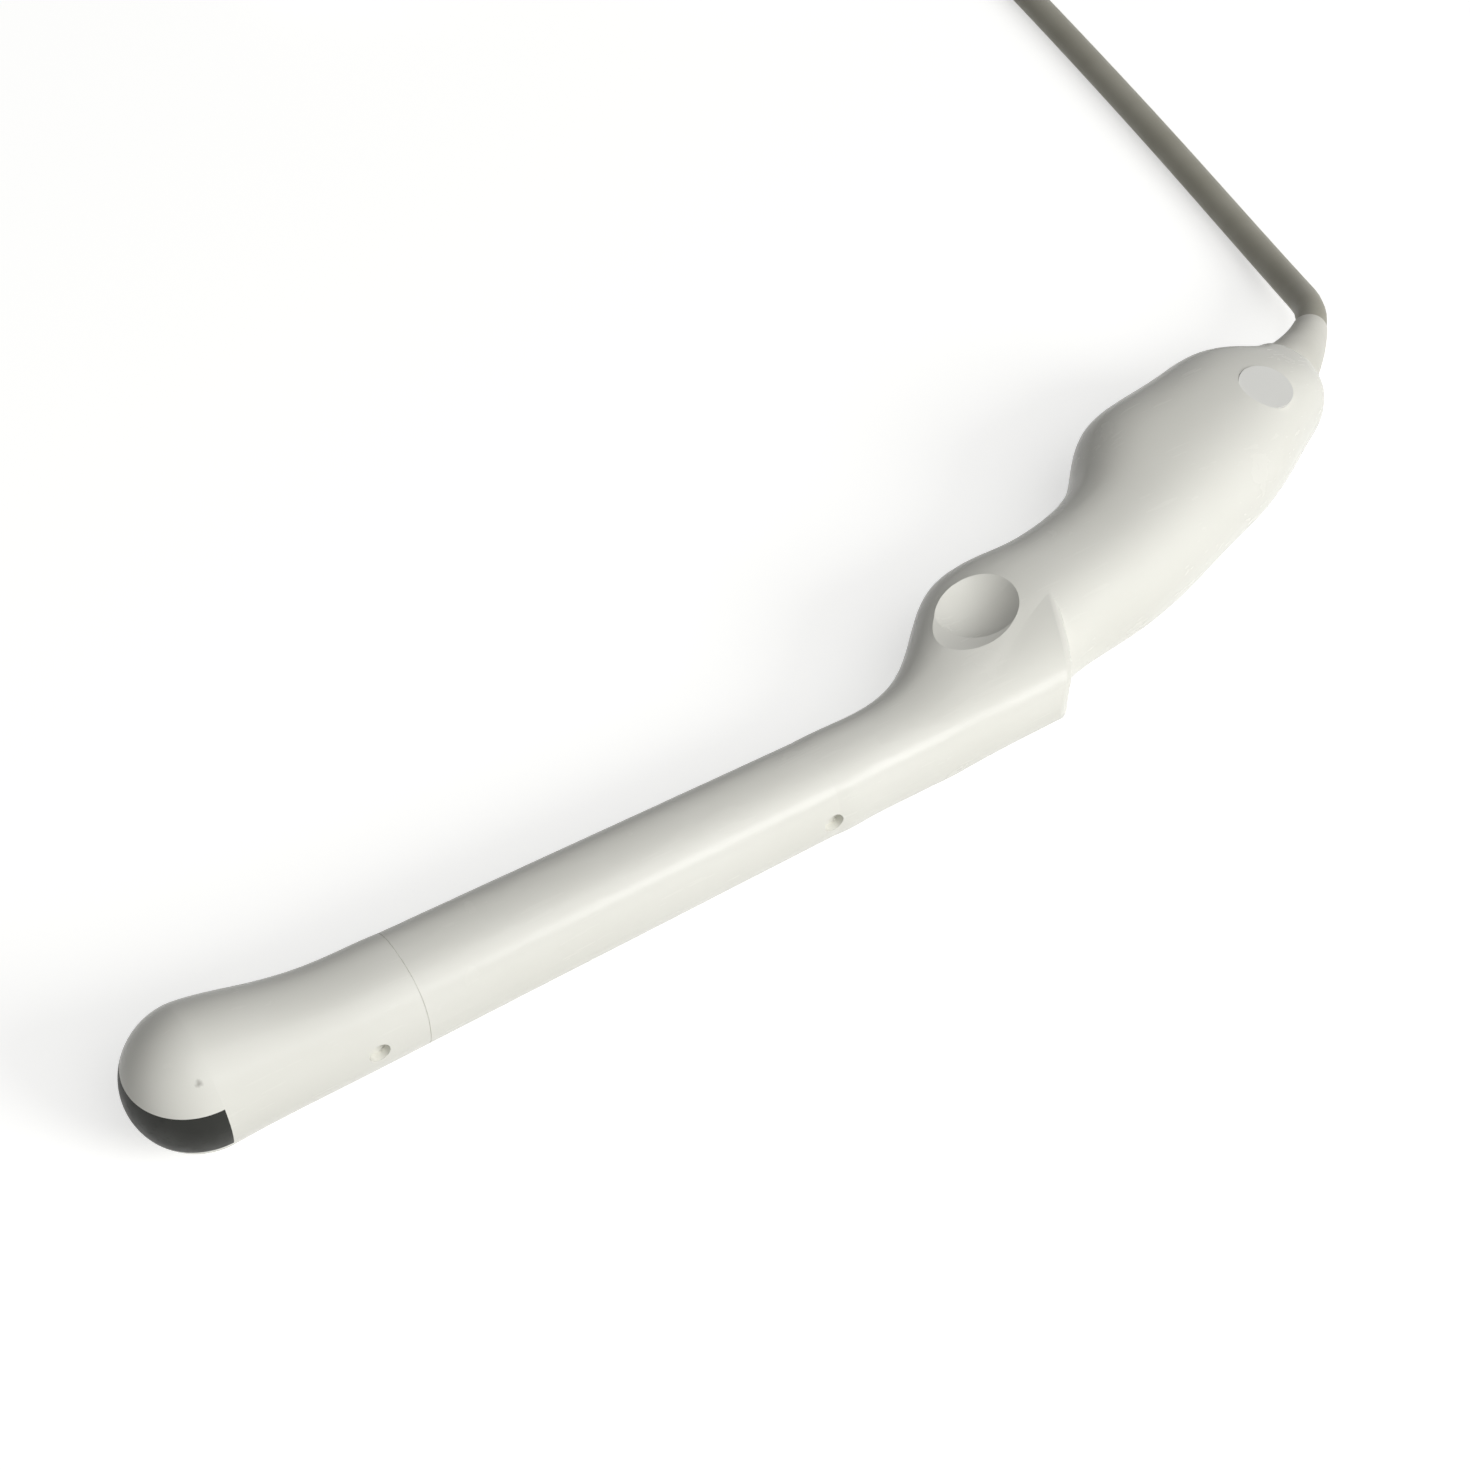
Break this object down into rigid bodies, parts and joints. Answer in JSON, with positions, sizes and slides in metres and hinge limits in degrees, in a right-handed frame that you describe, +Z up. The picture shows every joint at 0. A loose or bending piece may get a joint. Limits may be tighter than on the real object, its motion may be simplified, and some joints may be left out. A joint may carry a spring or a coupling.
{
  "type": "ultrasound transducer probe",
  "caption": "Slim end-fire ultrasound probe with a round lens head, straight shaft, offset grip with thumb rest, strain relief and a coiled cable ending in a plug",
  "frame": {"origin": "middle of the footprint of the probe without its cable, on the surface it lies on", "axes": "+X from the lens tip along the shaft to the cable end, +Y the side the grip bends to, +Z up out of the surface"},
  "size_m": [0.3741, 0.3877, 0.0288],
  "materials": {
    "housing_white": "smooth moulded medical plastic, glossy",
    "lens_charcoal": "smooth silicone, satin",
    "matching_epoxy": "filled epoxy, matte",
    "piezo_ceramic": "fired ceramic with a metal electrode",
    "backing_compound": "tungsten-filled compound, matte",
    "carrier_resin": "moulded resin, matte",
    "flex_film": "polyimide film, satin",
    "board_laminate": "glass-epoxy laminate, satin",
    "socket_black": "moulded connector plastic",
    "coax_jackets": "bundle of fine jacketed wires",
    "screw_steel": "machined, bright",
    "badge_white": "smooth inlay, satin",
    "relief_grey": "soft moulded elastomer, satin",
    "cable_jacket": "smooth extruded jacket, satin",
    "tie_strap": "woven hook-and-loop strap",
    "plug_grey": "fine moulded texture",
    "shroud_steel": "plated sheet metal",
    "contact_gold": "gold-plated contacts"
  },
  "bodies": {
    "root": {"nose_housing": "housing_white", "upper_shell": "housing_white", "lower_shell": "housing_white", "acoustic_lens": "lens_charcoal", "matching_layer": "matching_epoxy", "piezo_array": "piezo_ceramic", "backing_block": "backing_compound", "array_carrier": "carrier_resin", "clamp_upper": "carrier_resin", "clamp_lower": "carrier_resin", "flex_upper": "flex_film", "flex_lower": "flex_film", "termination_board": "board_laminate", "plug_board": "board_laminate", "socket_upper": "socket_black", "socket_lower": "socket_black", "plug_insert": "socket_black", "coax_bundle": "coax_jackets", "clamp_screw_near": "screw_steel", "clamp_screw_far": "screw_steel", "badge_plate": "badge_white", "strain_relief": "relief_grey", "plug_boot": "relief_grey", "cable": "cable_jacket", "cable_coil": "cable_jacket", "cable_tail": "cable_jacket", "coil_tie": "tie_strap", "plug_cover_upper": "plug_grey", "plug_cover_lower": "plug_grey", "plug_shroud": "shroud_steel", "contact_row_upper": "contact_gold", "contact_row_lower": "contact_gold"}
  },
  "joints": []
}
